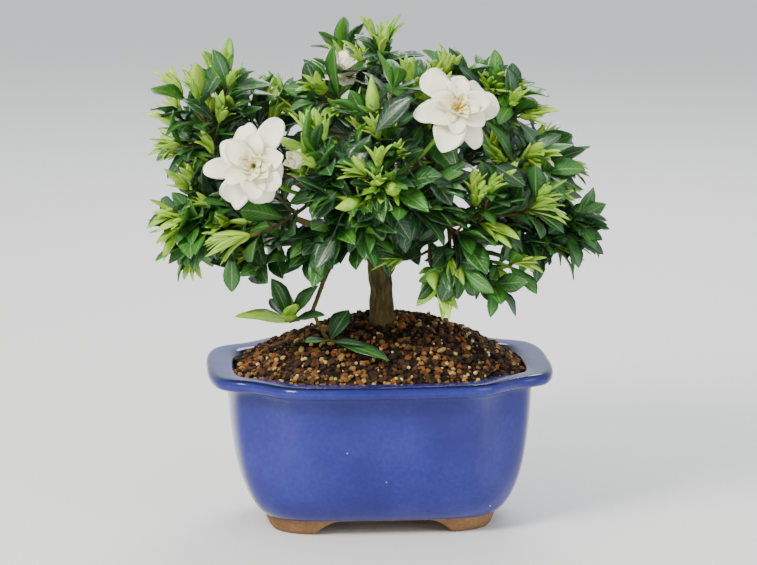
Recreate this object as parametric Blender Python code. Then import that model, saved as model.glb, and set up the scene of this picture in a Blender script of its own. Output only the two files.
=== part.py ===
"""Potted gardenia: a small double-flowered gardenia shrub in a lobed, glazed bonsai pot.

Units in the tables are millimetres; meshes are made in metres, +Z up. The origin is on the
standing surface, under the middle of the pot. The flowers face -Y.
"""

import math

import bmesh
import bpy
from mathutils import Vector
from mathutils.bvhtree import BVHTree

MM = 0.001
CLEARANCE = 0.35
SOIL_WALL_CLEARANCE = 0.9

# Driving dimensions of the pot
POT_HALF_LENGTH = 103.0
POT_HALF_DEPTH = 78.0
POT_HEIGHT = 97.0
FOOT_HEIGHT = 9.4
FLOOR_TOP = 16.0
HOLE_X = 42.0
HOLE_RADIUS = 6.0
SCREEN_SIDE = 20.0
SCREEN_THICKNESS = 1.0
SCREEN_HOLES = 2

# Driving dimensions of the soil mound and the plant
SOIL_EDGE_Z = 93.0
SOIL_PEAK = Vector((8.0, 15.0, 122.0))
SOIL_EDGE_INSET = 18.0
TRUNK_X = 2.0
ROOT_Z = 100.0
CROWN_CENTRE = Vector((0.0, 0.0, 190.0))
CROWN_LIMBS = 12
TWIG_RADII = [1.1, 1.1, 0.9, 0.8]
TWIG_LIFTS = (-0.4, -0.1, 0.2, 0.5, 0.8)

# One quarter of the rim's outline, from the middle of the front to the middle of the right end
OUTLINE_QUARTER = [
    (0, -78), (34, -77), (53, -75), (63, -70.5), (71, -63), (80, -55.5),
    (90, -50.5), (97.5, -44), (101.5, -31), (103, -14), (103, 0),
]

# The same quarter near the feet, where the lobes have faded into a plain rounded rectangle
BASE_QUARTER = [
    (0, -78), (34, -78), (53, -77.5), (66, -76.5), (78, -74), (88, -68.5),
    (96, -58), (100, -47), (102, -33), (103, -15), (103, 0),
]
LOBE_FULL_ABOVE = 65.0
LOBE_AT_BASE = 0.15

# (inset from the rim's outline, height) up the outside, over the rim and down the inside
OUTER_PROFILE = [
    (38, 0), (35.5, 2.5), (33, FOOT_HEIGHT), (27, 15), (21, 27), (16.4, 44), (13.6, 66), (12.5, 86),
    (5, 90), (0.6, 91), (0, 93), (0.7, 95.9), (2.6, POT_HEIGHT),
]
INNER_PROFILE = [
    (14, POT_HEIGHT), (17, 94), (18.5, 74), (20.5, 50), (26, 30), (34, 18), (40, FLOOR_TOP),
]

# Half of each arch between two feet: (distance from the middle, height)
FRONT_ARCH = [(44, -1), (41, 1), (37, 4.5), (32, 7.6), (28, 9.2)]
END_ARCH = [(22, -1), (20, 1), (17, 4.5), (14, 7.6), (11, 9.2)]
RECESS_INSET = 52.0
RECESS_TOP = 9.0

# Wood: (points on the centre line, radius at the start, radius at the end)
TRUNK_LINE = [
    (TRUNK_X, 0, ROOT_Z), (TRUNK_X, 0, 112), (TRUNK_X, 0, 119), (TRUNK_X, 0, 126),
    (1.5, 0, 142), (0, 0, 156), (-2, 1, 168),
]
TRUNK_RADII = [8.6, 8.8, 8.2, 7.3, 6.9, 6.7, 5.6]
LIMBS = [
    ([(-1, 0, 158), (-20, -5, 171), (-47, -10, 184), (-80, -15, 196)], 4.6, 1.6),
    ([(2, 0, 160), (25, -5, 175), (55, -10, 183), (87, -12, 188)], 4.4, 1.6),
    ([(-1, 2, 162), (-5, 8, 192), (-10, 12, 222), (-8, 12, 250)], 3.9, 1.5),
    ([(-3, 0, 162), (-32, 5, 192), (-60, 2, 212), (-85, -4, 230)], 3.8, 1.5),
    ([(1, 1, 162), (14, 3, 192), (27, 6, 222), (46, 6, 246)], 4.0, 1.5),
    ([(3, -1, 163), (34, -2, 192), (62, -4, 208), (88, -6, 218)], 3.4, 1.5),
    ([(-2, 2, 160), (-20, 30, 188), (-42, 62, 208)], 3.6, 1.5),
    ([(1, 2, 160), (22, 32, 188), (46, 62, 206)], 3.6, 1.5),
    ([(0, 3, 162), (0, 35, 198), (2, 68, 224)], 3.4, 1.5),
    ([(-2, -2, 162), (-22, -30, 188), (-42, -56, 206)], 3.4, 1.5),
    ([(2, -2, 161), (24, -32, 184), (46, -60, 196)], 3.4, 1.5),
    ([(0, -2, 163), (2, -32, 195), (2, -60, 216)], 3.3, 1.5),
    ([(-20, -5, 171), (-27, -15, 163), (-35, -25, 149), (-41, -30, 134), (-48, -34, 129.5)], 2.6, 1.2),
    ([(-41, -30, 134), (-37.5, -30, 125), (-33, -28, 116)], 1.7, 1.1),
]

# Flowers: (name, centre of the whorl, direction it faces, petal length, petals, tilt of each whorl)
FLOWERS = [
    ("flower_left", (-77, -88, 229), (-0.2, -0.92, 0.2), 27, 7, (1.15, 0.7)),
    ("flower_right", (38, -80, 258), (0.1, -0.85, 0.5), 27, 8, (1.15, 0.7)),
    ("flower_top", (-25, 6, 266), (0.1, -0.2, 1.0), 19, 5, (0.42,)),
]
FLOWER_BUD = ("flower_bud_left", (-54, -80, 226), (-0.1, -0.5, 0.8), 9)

# Shoots of the crown: where the end of each stands. Young growth and flower buds are
# lighter than the grown leaves, so the two sorts are told apart by name.
BUDDING_TIPS = [
    (-97, -25, 282), (-115, -38, 274), (-128, -22, 258), (-41, -32, 282), (-16, -62, 270),
    (10, -5, 300), (22, -38, 276), (66, -20, 279), (92, -30, 264), (-135, -25, 208),
    (-126, -42, 192), (-93, -72, 196), (-46, -78, 260), (-22, -98, 222), (-2, -96, 232),
    (25, -74, 170), (62, -80, 206), (87, -58, 243), (93, -62, 214), (82, -58, 163),
    (112, 18, 206), (-77, 18, 268), (44, 18, 274), (-118, 20, 240), (-84, 62, 236),
    (-28, 101, 228), (42, 92, 236), (96, 52, 232), (-2, 56, 284), (-50, 60, 258),
]
LEAFY_TIPS = [
    (-112, -55, 180), (-88, -46, 155), (-60, -54, 164), (5, -76, 256), (-38, -84, 186),
    (-12, -88, 190), (28, -94, 208), (44, -84, 186), (134, -20, 192), (106, -34, 168),
    (112, 8, 228), (-108, 42, 192), (-62, 84, 204), (18, 105, 202), (72, 80, 202),
    (108, 44, 190), (60, 56, 262),
]

# Leaves of the two low sprays beside the trunk: (base, tip, width)
LOW_SPRAY_LEAVES = [
    ((-54, -36, 127), (-91, -46, 133), 9.0), ((-54, -36, 128), (-68, -40, 152), 9.5),
    ((-53, -36, 128), (-47, -44, 150), 8.5), ((-54, -37, 127), (-40, -50, 134), 8.0),
    ((-55, -37, 127), (-63, -62, 136), 7.5), ((-54, -35, 128), (-70, -16, 138), 7.0),
]
LOW_SPROUT_LEAVES = [
    ((-31, -29, 114.5), (-21, -27, 132), 8.5), ((-31, -30, 113.8), (0, -56, 108), 7.5),
    ((-31.5, -30, 114), (-47, -44, 116), 5.5),
]

BLADE_THICKNESS = 1.0
BUD_RADIUS = 2.3
LEAF_STEP = 1.7


# ---------------------------------------------------------------- scene and meshes

def clear_scene():
    for old in list(bpy.data.objects):
        bpy.data.objects.remove(old, do_unlink=True)


def principled(name, colour, roughness):
    material = bpy.data.materials.new(name)
    material.use_nodes = True
    shader = material.node_tree.nodes["Principled BSDF"]
    shader.inputs["Base Color"].default_value = (*colour, 1.0)
    shader.inputs["Roughness"].default_value = roughness
    shader.inputs["Metallic"].default_value = 0.0
    return material


def new_object(name, solid, material):
    """A named object made from (vertices in mm, faces)."""
    vertices, faces = solid
    mesh = bpy.data.meshes.new(name)
    mesh.from_pydata([Vector(v) * MM for v in vertices], [], faces)
    mesh.materials.append(material)
    body = bpy.data.objects.new(name, mesh)
    bpy.context.scene.collection.objects.link(body)
    return body


def new_guide(name, solid, material):
    guide = new_object(name, solid, material)
    guide.hide_render = True
    guide.display_type = "WIRE"
    return guide


def combine(body, guide, operation):
    """Boolean with a guide that may be made of several overlapping closed shells."""
    modifier = body.modifiers.new(guide.name, "BOOLEAN")
    modifier.operation = operation
    modifier.solver = "EXACT"
    modifier.use_self = operation == "UNION"
    modifier.object = guide


def keep_outer_shell(body):
    """Apply the modifiers and keep the largest shell, so that no sealed void stays inside."""
    evaluated = body.evaluated_get(bpy.context.evaluated_depsgraph_get())
    mesh = bpy.data.meshes.new_from_object(evaluated)
    body.modifiers.clear()
    shell = bmesh.new()
    shell.from_mesh(mesh)
    waiting, groups = set(shell.verts), []
    while waiting:
        group, front = set(), [waiting.pop()]
        while front:
            vertex = front.pop()
            group.add(vertex)
            near = {edge.other_vert(vertex) for edge in vertex.link_edges} & waiting
            waiting -= near
            front.extend(near)
        groups.append(group)
    groups.sort(key=len)
    for group in groups[:-1]:
        bmesh.ops.delete(shell, geom=list(group), context="VERTS")
    shell.to_mesh(mesh)
    shell.free()
    body.data = mesh


def joined(solids):
    """One (vertices, faces) pair from several."""
    vertices, faces = [], []
    for some_vertices, some_faces in solids:
        start = len(vertices)
        vertices.extend(some_vertices)
        faces.extend([[start + i for i in face] for face in some_faces])
    return vertices, faces


def loft(rings, peak=None):
    """Closed solid through rings of equal length, wound so that its faces point out.

    It ends in a flat face, or in a fan of triangles to the peak if there is one.
    """
    count = len(rings[0])
    vertices = [point for ring in rings for point in ring]
    faces = [list(range(count))[::-1]]
    for level in range(len(rings) - 1):
        low, high = level * count, (level + 1) * count
        for i in range(count):
            j = (i + 1) % count
            faces.append([low + i, low + j, high + j, high + i])
    last = [(len(rings) - 1) * count + i for i in range(count)]
    if peak is None:
        faces.append(last)
    else:
        vertices.append(peak)
        faces.extend([last[i], last[(i + 1) % count], len(vertices) - 1] for i in range(count))
    return vertices, faces


# ---------------------------------------------------------------- curves

def smooth_point(points, position):
    """Point on a Catmull-Rom curve through the points; position runs from 0 to 1."""
    spans = len(points) - 1
    place = min(max(position, 0.0), 1.0) * spans
    i = min(int(place), spans - 1)
    t = place - i
    p1, p2 = Vector(points[i]), Vector(points[i + 1])
    p0 = Vector(points[i - 1]) if i else 2 * p1 - p2
    p3 = Vector(points[i + 2]) if i + 2 <= spans else 2 * p2 - p1
    return 0.5 * (2 * p1 + (p2 - p0) * t + (2 * p0 - 5 * p1 + 4 * p2 - p3) * t * t
                  + (3 * p1 - p0 - 3 * p2 + p3) * t * t * t)


def side_vectors(direction):
    """Two unit vectors square to a direction and to each other."""
    helper = Vector((0, 0, 1)) if abs(direction.z) < 0.9 else Vector((1, 0, 0))
    first = direction.cross(helper).normalized()
    return first, direction.cross(first).normalized()


def tube(points, radii, sides):
    """Closed round tube along the points, with a radius at each."""
    points = [Vector(p) for p in points]
    rings = []
    first = None
    for i, point in enumerate(points):
        ahead = points[min(i + 1, len(points) - 1)]
        behind = points[max(i - 1, 0)]
        direction = (ahead - behind).normalized()
        if first is None:
            first, second = side_vectors(direction)
        else:
            first = (first - direction * first.dot(direction)).normalized()
            second = direction.cross(first)
        rings.append([
            point + radii[i] * (math.cos(turn) * first + math.sin(turn) * second)
            for turn in (2 * math.pi * k / sides for k in range(sides))
        ])
    return loft(rings)


# ---------------------------------------------------------------- pot, screens, soil

def outline(height):
    rise = min(max((height - FOOT_HEIGHT) / LOBE_FULL_ABOVE, 0.0), 1.0)
    lobe = LOBE_AT_BASE + (1 - LOBE_AT_BASE) * rise * rise * (3 - 2 * rise)
    quarter = [
        (base_x + (x - base_x) * lobe, base_y + (y - base_y) * lobe)
        for (x, y), (base_x, base_y) in zip(OUTLINE_QUARTER, BASE_QUARTER)
    ]
    right = quarter + [(x, -y) for x, y in reversed(quarter[:-1])]
    return right + [(-x, y) for x, y in reversed(right[1:-1])]


def pot_ring(inset, height):
    along = (POT_HALF_LENGTH - inset) / POT_HALF_LENGTH
    across = (POT_HALF_DEPTH - inset) / POT_HALF_DEPTH
    return [(x * along, y * across, height) for x, y in outline(height)]


def arch_prism(half_arch, reach, along_y):
    """Solid of an arch's section, run through the whole pot along Y or along X."""
    section = half_arch + [(-w, z) for w, z in reversed(half_arch)]
    if along_y:
        rings = [[(w, y, z) for w, z in section] for y in (-reach, reach)]
    else:
        rings = [[(x, w, z) for w, z in section] for x in (reach, -reach)]
    return loft([ring[::-1] for ring in rings])


def build_pot(glaze):
    pot = new_object("pot", loft([pot_ring(*p) for p in OUTER_PROFILE + INNER_PROFILE]), glaze)
    recess = loft([pot_ring(RECESS_INSET, -1), pot_ring(RECESS_INSET, RECESS_TOP)])
    arches = [
        arch_prism(FRONT_ARCH, POT_HALF_DEPTH, True),
        arch_prism(END_ARCH, POT_HALF_LENGTH, False),
    ]
    holes = [
        tube([(x, 0, FOOT_HEIGHT - 4), (x, 0, FLOOR_TOP + 1)], [HOLE_RADIUS] * 2, 12)
        for x in (-HOLE_X, HOLE_X)
    ]
    for number, solid in enumerate([recess] + arches + holes):
        combine(pot, new_guide(f"pot_cutter_{number}", solid, glaze), "DIFFERENCE")
    return pot


def screen_solid():
    """A square of coarse drainage mesh: a grid of square holes in a thin plate."""
    cells = 2 * SCREEN_HOLES + 1
    step = SCREEN_SIDE / cells
    grid = bmesh.new()
    corners = {}
    for i in range(cells + 1):
        for j in range(cells + 1):
            spot = (i * step - SCREEN_SIDE / 2, j * step - SCREEN_SIDE / 2, 0)
            corners[i, j] = grid.verts.new(spot)
    for i in range(cells):
        for j in range(cells):
            if i % 2 and j % 2:
                continue
            grid.faces.new([corners[i, j], corners[i + 1, j], corners[i + 1, j + 1], corners[i, j + 1]])
    lower = list(grid.faces)
    raised = bmesh.ops.extrude_face_region(grid, geom=lower)["geom"]
    lifted = [v for v in raised if isinstance(v, bmesh.types.BMVert)]
    bmesh.ops.translate(grid, verts=lifted, vec=(0, 0, SCREEN_THICKNESS))
    bmesh.ops.recalc_face_normals(grid, faces=grid.faces)
    grid.verts.index_update()
    solid = [v.co.copy() for v in grid.verts], [[v.index for v in f.verts] for f in grid.faces]
    grid.free()
    return solid


def build_screens(plastic):
    height = (FLOOR_TOP + CLEARANCE) * MM
    left = new_object("drain_screen_left", screen_solid(), plastic)
    left.location = (-HOLE_X * MM, 0, height)
    right = bpy.data.objects.new("drain_screen_right", left.data)
    bpy.context.scene.collection.objects.link(right)
    right.location = (HOLE_X * MM, 0, height)


def mound_rise(share):
    """Rise of the mound, from 1 at its peak to 0 where the soil meets the wall."""
    return 1 - share ** 1.8


def mound_ring(share):
    ring = []
    for x, y, z in pot_ring(SOIL_EDGE_INSET, SOIL_EDGE_Z):
        spot = SOIL_PEAK.lerp(Vector((x, y, 0)), share)
        lump = 1.3 * (1 - share) * math.sin(0.16 * spot.x) * math.cos(0.19 * spot.y)
        rise = (SOIL_PEAK.z - SOIL_EDGE_Z) * mound_rise(share)
        ring.append((spot.x, spot.y, SOIL_EDGE_Z + rise + lump))
    return ring


def build_soil(earth):
    wall = [(inset, z) for inset, z in reversed(INNER_PROFILE) if z < SOIL_EDGE_Z]
    rings = [pot_ring(inset + SOIL_WALL_CLEARANCE, z + CLEARANCE) for inset, z in wall]
    rings += [mound_ring(share) for share in (1, 0.9, 0.72, 0.52, 0.33, 0.15)]
    shell = loft(rings, peak=SOIL_PEAK)
    soil = new_object("soil", shell, earth)
    socket = tube(TRUNK_LINE[:5], [r + CLEARANCE for r in TRUNK_RADII[:5]], 12)
    socket = [v - Vector((0, 0, CLEARANCE)) for v in socket[0]], socket[1]
    pocket_half = SCREEN_SIDE / 2 + CLEARANCE
    pocket_top = FLOOR_TOP + SCREEN_THICKNESS + 2 * CLEARANCE
    guides = [socket]
    for middle in (-HOLE_X, HOLE_X):
        guides.append(loft([
            [(middle + sx * pocket_half, sy * pocket_half, z)
             for sx, sy in ((-1, -1), (1, -1), (1, 1), (-1, 1))]
            for z in (FLOOR_TOP - 1, pocket_top)
        ]))
    for number, solid in enumerate(guides):
        combine(soil, new_guide(f"soil_cutter_{number}", solid, earth), "DIFFERENCE")
    return shell


# ---------------------------------------------------------------- wood

def limb_line(points, steps):
    return [smooth_point(points, k / steps) for k in range(steps + 1)]


def limb_tube(limb):
    points, start, end = limb
    steps = 2 * (len(points) - 1)
    radii = [start + (end - start) * (k / steps) ** 0.7 for k in range(steps + 1)]
    return tube(limb_line(points, steps), radii, 5)


def build_trunk(bark):
    stem = tube(TRUNK_LINE, TRUNK_RADII, 12)
    limbs = joined([limb_tube(limb) for limb in LIMBS])
    trunk = new_object("trunk", stem, bark)
    combine(trunk, new_guide("trunk_limbs", limbs, bark), "UNION")
    keep_outer_shell(trunk)
    return joined([stem, limbs])


def nearest_wood(target):
    """Places on the limbs from which a twig could grow, nearest to the target first."""
    places = []
    for points, start, end in LIMBS[:CROWN_LIMBS]:
        for k in range(10, 41, 2):
            share = k / 40
            spot = smooth_point(points, share)
            radius = start + (end - start) * share ** 0.7
            places.append(((spot - target).length, spot, radius))
    places.sort(key=lambda place: place[0])
    return [(spot, radius) for _, spot, radius in places[:24]]


# ---------------------------------------------------------------- leaves, shoots, flowers

def blade(base, tip, width, arch=0.12, grow=0.0):
    """A leaf or petal as a thin closed wedge: a stalk end, a wide middle and a point.

    Its upper side is flat and a keel runs underneath. grow makes it larger all round, to
    test that there is room for it.
    """
    base, tip = Vector(base), Vector(tip)
    length = (tip - base).length
    direction = (tip - base).normalized()
    across, face = side_vectors(direction)
    if face.z < 0:
        across, face = -across, -face
    middle = base + direction * (0.55 * length) + face * (arch * length)
    rings = []
    for centre, half_width, thick in ((base, 0.6, 0.9), (middle, width / 2, BLADE_THICKNESS)):
        wide = half_width + grow
        rings.append([
            centre - across * wide + face * (thick / 2 + grow),
            centre - face * (thick / 2 + grow),
            centre + across * wide + face * (thick / 2 + grow),
        ])
    return loft(rings, peak=tip + direction * grow)


def spindle(base, tip, radius, grow=0.0):
    """A closed bud: narrow at its base, fullest at two fifths, pointed."""
    base, tip = Vector(base), Vector(tip)
    points = [base, base.lerp(tip, 0.42), tip]
    return tube(points, [r + grow for r in (0.8, radius, 0.3)], 5)


def tree_of(solid):
    vertices, faces = solid
    return BVHTree.FromPolygons([Vector(v) for v in vertices], faces)


def is_clear(solid, trees):
    own = tree_of(solid)
    return not any(own.overlap(other) for other in trees)


def spread_direction(axis, turn, tilt):
    first, second = side_vectors(axis)
    outward = math.cos(turn) * first + math.sin(turn) * second
    return (math.cos(tilt) * axis + math.sin(tilt) * outward).normalized()


def clear_blade(base, axis, turn, tilt, length, width, trees):
    """A leaf turned or shortened until it is clear of everything, or None."""
    for shrink in (1.0, 0.8, 0.6):
        for swing in (0.0, 0.3, -0.3, 0.6, -0.6):
            direction = spread_direction(axis, turn + swing, tilt)
            tip = base + direction * length * shrink
            trial = blade(base + direction * 1.8, tip, width * shrink, grow=CLEARANCE)
            if is_clear(trial, trees):
                return blade(base, tip, width * shrink)
    return None


def twig_line(start, end, bend):
    middle = start.lerp(end, 0.5) + bend
    return [
        (1 - t) * (1 - t) * start + 2 * t * (1 - t) * middle + t * t * end
        for t in (0, 0.35, 0.7, 1)
    ]


def clear_twig(target, end, trees):
    """A twig from the side of a limb near the target to its end, clear of everything."""
    for amount in (0.05, 0.12, 0.2, 0.32):
        for base, radius_there in nearest_wood(target):
            direction = (end - base).normalized()
            first, second = side_vectors(direction)
            for turn in (1.6, 0.6, 2.6, 3.8, 5.2, 0.0, 4.5):
                side = math.cos(turn) * first + math.sin(turn) * second
                bend = amount * (end - base).length * side
                outward = (direction + 0.5 * side).normalized()
                for lift in TWIG_LIFTS:
                    line = twig_line(base + outward * (radius_there + lift), end, bend)
                    if is_clear(tube(line, [r + CLEARANCE for r in TWIG_RADII], 4), trees):
                        return line, tube(line, TWIG_RADII, 4)
    raise RuntimeError(f"no room for a twig to {tuple(round(v) for v in end)}")


def point_below_end(line, distance):
    """Point on a twig's centre line, a distance back from its end."""
    for k in range(len(line) - 1, 0, -1):
        step = (line[k] - line[k - 1]).length
        if distance < step:
            return line[k].lerp(line[k - 1], distance / step)
        distance -= step
    return line[0]


def plan_twig(tip, budding, trees):
    """The twig of a shoot whose leaves reach to the tip: its axis, its line and its solid."""
    tip = Vector(tip)
    target = tip.lerp(CROWN_CENTRE, 0.38)
    rise = Vector((0, 0, 0.55 if budding else 0.1))
    axis = ((tip - nearest_wood(target)[0][0]).normalized() + rise).normalized()
    line, twig = clear_twig(target, tip - axis * (21 if budding else 26), trees)
    return axis, line, twig


def shoot_leaves(axis, line, budding, trees):
    """Leaves of one shoot and, on young growth, the closed bud at its end."""
    leaves = []
    end = line[-1]
    if budding:
        bud_tip = end + axis * 15
        if is_clear(spindle(end, bud_tip, BUD_RADIUS, CLEARANCE), trees):
            leaves.append(spindle(end, bud_tip, BUD_RADIUS))
        whorls = [(0.6, 3, 0.42, 21, 5.5), (9, 2, 1.05, 25, 8.5)]
    else:
        whorls = [(0.6, 2, 0.35, 27, 8.5), (8, 3, 1.0, 27, 9.5)]
    for number, (below, count, tilt, length, width) in enumerate(whorls):
        for k in range(count):
            turn = 2 * math.pi * (k + 0.5 * number) / count + 0.07 * end.x
            spot = point_below_end(line, below + LEAF_STEP * k)
            leaf = clear_blade(spot, axis, turn, tilt, length, width, trees)
            if leaf:
                leaves.append(leaf)
    return joined(leaves)


def add_assembly(name, stem, blades, material, trees):
    body = new_object(name, stem, material)
    combine(body, new_guide(f"{name}_blades", blades, material), "UNION")
    keep_outer_shell(body)
    trees.append(tree_of(joined([stem, blades])))


def add_flower(name, centre, facing, length, petals, tilts, material, trees):
    """Calyx tube with whorls of petals round a closed heart."""
    centre, facing = Vector(centre), Vector(facing).normalized()
    back = centre - facing * 16
    line, _ = clear_twig(back.lerp(CROWN_CENTRE, 0.25), back, trees)
    stem = tube(line + [centre - facing * 5, centre], [1.1, 1.1, 1.2, 1.6, 2.4, 2.0], 6)
    shells = [spindle(centre - facing * 2, centre + facing * 10, 4.5)]
    for whorl, tilt in enumerate(tilts):
        reach = 1.0 - 0.3 * whorl
        for k in range(petals):
            turn = 2 * math.pi * (k + 0.5 * whorl) / petals + 0.12 * math.sin(2.9 * k)
            direction = spread_direction(facing, turn, tilt + 0.08 * math.sin(2.3 * k + 1))
            span = length * reach * (1 + 0.07 * math.sin(1.7 * k + whorl))
            root = centre - facing * (1.5 + 0.4 * math.sin(1.3 * k))
            shells.append(blade(root, centre + direction * span, 0.5 * span, arch=0.08))
    add_assembly(name, stem, joined(shells), material, trees)


def build_flowers(petal, trees):
    for name, centre, facing, length, petals, tilts in FLOWERS:
        add_flower(name, centre, facing, length, petals, tilts, petal, trees)
    name, centre, facing, length = FLOWER_BUD
    centre, facing = Vector(centre), Vector(facing).normalized()
    _, stem = clear_twig(centre.lerp(CROWN_CENTRE, 0.25), centre, trees)
    add_assembly(name, stem, spindle(centre - facing, centre + facing * length, 3.2), petal, trees)


def build_low_sprays(leaf, trees):
    """The rosette and the small sprout at the ends of the drooping branch."""
    for name, start, end, leaves in (
        ("low_spray", (-48.8, -34.3, 129.1), (-55, -36.5, 127), LOW_SPRAY_LEAVES),
        ("low_sprout", (-32.7, -28.2, 115.4), (-31, -29.5, 113.8), LOW_SPROUT_LEAVES),
    ):
        stem = tube([start, Vector(start).lerp(Vector(end), 0.5), end], [1.1, 1.0, 0.9], 5)
        blades = [blade(base, tip, width) for base, tip, width in leaves]
        add_assembly(name, stem, joined(blades), leaf, trees)


def build_shoots(young, grown, trees):
    """Every twig is placed before the first leaf, so that no leaf bars a twig's way."""
    shoots = []
    for tip in BUDDING_TIPS + LEAFY_TIPS:
        budding = len(shoots) < len(BUDDING_TIPS)
        axis, line, twig = plan_twig(tip, budding, trees)
        trees.append(tree_of(twig))
        shoots.append((budding, axis, line, twig, trees[-1]))
    counts = {True: 0, False: 0}
    for budding, axis, line, twig, own_tree in shoots:
        others = [tree for tree in trees if tree is not own_tree]
        leaves = shoot_leaves(axis, line, budding, others)
        counts[budding] += 1
        name = f"{'budding' if budding else 'leafy'}_shoot_{counts[budding]:02d}"
        add_assembly(name, twig, leaves, young if budding else grown, trees)


def main():
    clear_scene()
    glaze = principled("blue_glaze", (0.085, 0.105, 0.42), 0.18)
    plastic = principled("screen_plastic", (0.03, 0.03, 0.03), 0.5)
    earth = principled("potting_mix", (0.09, 0.05, 0.03), 0.95)
    bark = principled("bark", (0.16, 0.12, 0.06), 0.85)
    petal = principled("petal", (0.88, 0.85, 0.72), 0.5)
    young = principled("young_leaf", (0.28, 0.5, 0.08), 0.4)
    grown = principled("grown_leaf", (0.03, 0.16, 0.03), 0.3)
    build_pot(glaze)
    build_screens(plastic)
    soil_shell = build_soil(earth)
    wood_shell = build_trunk(bark)
    pot_shell = loft([pot_ring(*p) for p in OUTER_PROFILE + INNER_PROFILE])
    trees = [tree_of(soil_shell), tree_of(wood_shell), tree_of(pot_shell)]
    build_flowers(petal, trees)
    build_low_sprays(grown, trees)
    build_shoots(young, grown, trees)


main()
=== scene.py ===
"""Looks of the potted gardenia: glazed pot, gritty soil, bark, fine leaves and double flowers.

Every shoot, flower and spray is rebuilt where its CAD solid stands. Lengths are in metres.
"""

import math
import random

import bmesh
import bpy
import numpy as np
from mathutils import Matrix, Vector, noise
from mathutils.bvhtree import BVHTree


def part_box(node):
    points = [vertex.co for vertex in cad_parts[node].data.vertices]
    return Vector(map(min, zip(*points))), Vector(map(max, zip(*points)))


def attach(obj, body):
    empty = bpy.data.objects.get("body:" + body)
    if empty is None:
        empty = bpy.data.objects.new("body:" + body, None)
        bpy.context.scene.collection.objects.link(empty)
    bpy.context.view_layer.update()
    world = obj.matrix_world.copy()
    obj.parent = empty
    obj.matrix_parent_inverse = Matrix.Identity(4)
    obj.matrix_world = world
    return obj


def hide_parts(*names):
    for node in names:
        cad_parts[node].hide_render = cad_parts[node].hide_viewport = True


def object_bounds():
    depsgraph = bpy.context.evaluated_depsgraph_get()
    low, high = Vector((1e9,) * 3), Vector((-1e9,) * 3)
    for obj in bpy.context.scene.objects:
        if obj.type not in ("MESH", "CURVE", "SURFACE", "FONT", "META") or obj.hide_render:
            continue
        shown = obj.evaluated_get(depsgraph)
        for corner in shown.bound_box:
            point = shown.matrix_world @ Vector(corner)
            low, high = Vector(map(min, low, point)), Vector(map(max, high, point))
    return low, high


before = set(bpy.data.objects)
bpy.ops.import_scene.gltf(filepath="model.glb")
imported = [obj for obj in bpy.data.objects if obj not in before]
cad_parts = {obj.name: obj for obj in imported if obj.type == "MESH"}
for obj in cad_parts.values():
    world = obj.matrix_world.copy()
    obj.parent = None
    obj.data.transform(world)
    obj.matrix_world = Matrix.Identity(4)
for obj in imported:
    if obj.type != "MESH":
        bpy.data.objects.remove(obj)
cad_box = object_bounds()
dice = random.Random(11)

MM = 0.001
UP = Vector((0, 0, 1))
BODY = "root"
POT_LOW, POT_HIGH = (Vector(corner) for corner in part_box("pot"))
BOX_LOW, BOX_HIGH = (Vector(corner) for corner in cad_box)


# ---------------------------------------------------------------- materials

class Shader:
    """A Principled material and short calls to add nodes to it."""

    def __init__(self, name, roughness, coat=0.0, specular=0.5):
        self.material = bpy.data.materials.new(name)
        self.material.use_nodes = True
        self.tree = self.material.node_tree
        self.principled = self.tree.nodes["Principled BSDF"]
        self.principled.inputs["Roughness"].default_value = roughness
        self.principled.inputs["Coat Weight"].default_value = coat
        self.principled.inputs["Coat Roughness"].default_value = 0.08
        self.principled.inputs["Specular IOR Level"].default_value = specular

    def add(self, kind, output=0, settings=None, **inputs):
        node = self.tree.nodes.new("ShaderNode" + kind)
        for key, value in (settings or {}).items():
            setattr(node, key, value)
        for key, value in inputs.items():
            socket = node.inputs[int(key[1:])] if key[0] == "i" and key[1:].isdigit() else node.inputs[key]
            self.give(socket, value)
        return node.outputs[output]

    def give(self, socket, value):
        if isinstance(value, bpy.types.NodeSocket):
            self.tree.links.new(value, socket)
        else:
            socket.default_value = value

    def set(self, name, value):
        self.give(self.principled.inputs[name], value)

    def place(self):
        return self.add("NewGeometry")

    def noise(self, scale, detail=3.0, vector=None):
        return self.add("TexNoise", 0, Vector=vector or self.place(), Scale=scale, Detail=detail)

    def math(self, operation, a, b=0.0, c=0.0):
        return self.add("Math", 0, {"operation": operation}, i0=a, i1=b, i2=c)

    def spread(self, value, low, high, to_low=0.0, to_high=1.0):
        return self.add("MapRange", 0, None, i0=value, i1=low, i2=high, i3=to_low, i4=to_high)

    def mix(self, factor, a, b, blend="MIX"):
        return self.add("Mix", 2, {"data_type": "RGBA", "blend_type": blend}, i0=factor, i6=a, i7=b)

    def ramp(self, value, stops):
        node = self.tree.nodes.new("ShaderNodeValToRGB")
        self.give(node.inputs[0], value)
        points = node.color_ramp.elements
        while len(points) < len(stops):
            points.new(0.5)
        for point, (position, colour) in zip(points, stops):
            point.position = position
            point.color = (*colour, 1.0)
        return node.outputs[0]

    def bump(self, height, strength, distance):
        self.set("Normal", self.add("Bump", 0, None, Strength=strength, Distance=distance, Height=height))


LEAF_TONES = [
    (0.0, (0.004, 0.026, 0.007)), (0.3, (0.010, 0.068, 0.012)), (0.6, (0.045, 0.19, 0.015)),
    (0.8, (0.19, 0.42, 0.025)), (1.0, (0.44, 0.66, 0.07)),
]


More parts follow.
